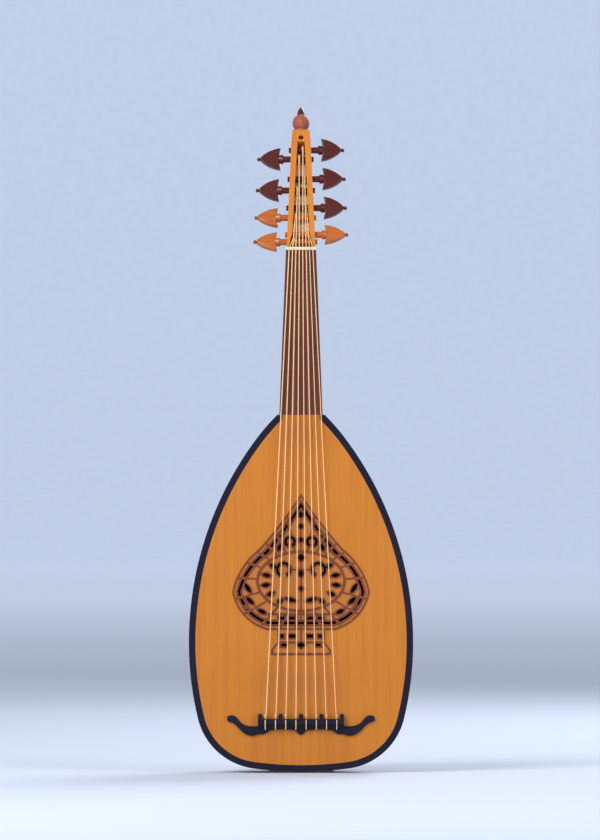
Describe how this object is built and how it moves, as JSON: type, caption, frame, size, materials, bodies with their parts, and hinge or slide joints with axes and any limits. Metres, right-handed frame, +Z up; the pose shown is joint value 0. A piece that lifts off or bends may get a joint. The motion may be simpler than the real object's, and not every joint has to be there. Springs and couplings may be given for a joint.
{
  "type": "oud",
  "caption": "Short-necked lute with a ribbed half-round bowl, flat soundboard with an openwork rosette, leaning pegbox, turning pegs and gut strings.",
  "frame": {"origin": "front of the neck at the nut line, where a hanger's fork carries the instrument below its pegbox", "axes": "+Z up along the neck, -Y out of the soundboard towards the player, +X to the right seen from the strings"},
  "size_m": [0.29, 0.1568, 0.8637],
  "materials": {
    "soundboard": "oiled, satin",
    "panel": "oiled, satin",
    "fretwork": "satin",
    "ebony": "polished",
    "rib": "varnished",
    "light_line": "varnished",
    "inner_wood": "raw",
    "neck": "varnished",
    "fingerboard": "oiled",
    "fingerboard_stripe": "oiled",
    "nut_bone": "polished",
    "pegbox": "varnished",
    "pegbox_back": "varnished",
    "peg_dark": "polished",
    "peg_light": "polished",
    "finial": "varnished",
    "string": "smooth"
  },
  "bodies": {
    "instrument": {"rib_01": "rib", "rib_02": "rib", "rib_03": "rib", "rib_04": "rib", "rib_05": "rib", "rib_06": "rib", "rib_07": "rib", "rib_08": "rib", "rib_09": "rib", "rib_10": "rib", "rib_11": "rib", "rib_lines": "light_line", "tail_clasp": "rib", "neck_block": "inner_wood", "tail_block": "inner_wood", "edge_linings": "inner_wood", "edge_binding": "ebony", "soundboard_left": "soundboard", "soundboard_right": "soundboard", "braces": "inner_wood", "rosette_panel": "panel", "rosette_fretwork": "fretwork", "bridge": "ebony", "moustache_left": "ebony", "moustache_right": "ebony", "neck": "neck", "fingerboard": "fingerboard", "fingerboard_inlay": "fingerboard_stripe", "nut": "nut_bone", "pegbox_cheek_left": "pegbox", "pegbox_cheek_right": "pegbox", "pegbox_back": "pegbox_back", "pegbox_head": "pegbox", "head_inlay": "peg_dark", "finial": "finial", "finial_tip": "ebony", "string_1": "string", "string_2": "string", "string_3": "string", "string_4": "string", "string_5": "string", "string_6": "string", "string_7": "string", "string_8": "string"},
    "tuning_peg_1": {"peg_1": "peg_light", "winding_1": "string"},
    "tuning_peg_2": {"peg_2": "peg_light", "winding_2": "string"},
    "tuning_peg_3": {"peg_3": "peg_dark", "winding_3": "string"},
    "tuning_peg_4": {"peg_4": "peg_dark", "winding_4": "string"},
    "tuning_peg_5": {"peg_5": "peg_dark", "winding_5": "string"},
    "tuning_peg_6": {"peg_6": "peg_dark", "winding_6": "string"},
    "tuning_peg_7": {"peg_7": "peg_dark", "winding_7": "string"},
    "tuning_peg_8": {"peg_8": "peg_light", "winding_8": "string"}
  },
  "joints": [
    {"name": "peg_1_turn", "type": "hinge", "parent": "instrument", "child": "tuning_peg_1", "pos_m": [0, 0.01569, 0.0105], "axis": [1, 0, 0], "continuous": true},
    {"name": "peg_2_turn", "type": "hinge", "parent": "instrument", "child": "tuning_peg_2", "pos_m": [0, 0.03332, 0.042], "axis": [1, 0, 0], "continuous": true},
    {"name": "peg_3_turn", "type": "hinge", "parent": "instrument", "child": "tuning_peg_3", "pos_m": [0, 0.05347, 0.078], "axis": [1, 0, 0], "continuous": true},
    {"name": "peg_4_turn", "type": "hinge", "parent": "instrument", "child": "tuning_peg_4", "pos_m": [0, 0.07642, 0.119], "axis": [1, 0, 0], "continuous": true},
    {"name": "peg_5_turn", "type": "hinge", "parent": "instrument", "child": "tuning_peg_5", "pos_m": [0, 0.08314, 0.131], "axis": [1, 0, 0], "continuous": true},
    {"name": "peg_6_turn", "type": "hinge", "parent": "instrument", "child": "tuning_peg_6", "pos_m": [0, 0.06187, 0.093], "axis": [1, 0, 0], "continuous": true},
    {"name": "peg_7_turn", "type": "hinge", "parent": "instrument", "child": "tuning_peg_7", "pos_m": [0, 0.0406, 0.055], "axis": [1, 0, 0], "continuous": true},
    {"name": "peg_8_turn", "type": "hinge", "parent": "instrument", "child": "tuning_peg_8", "pos_m": [0, 0.02101, 0.02], "axis": [1, 0, 0], "continuous": true}
  ]
}
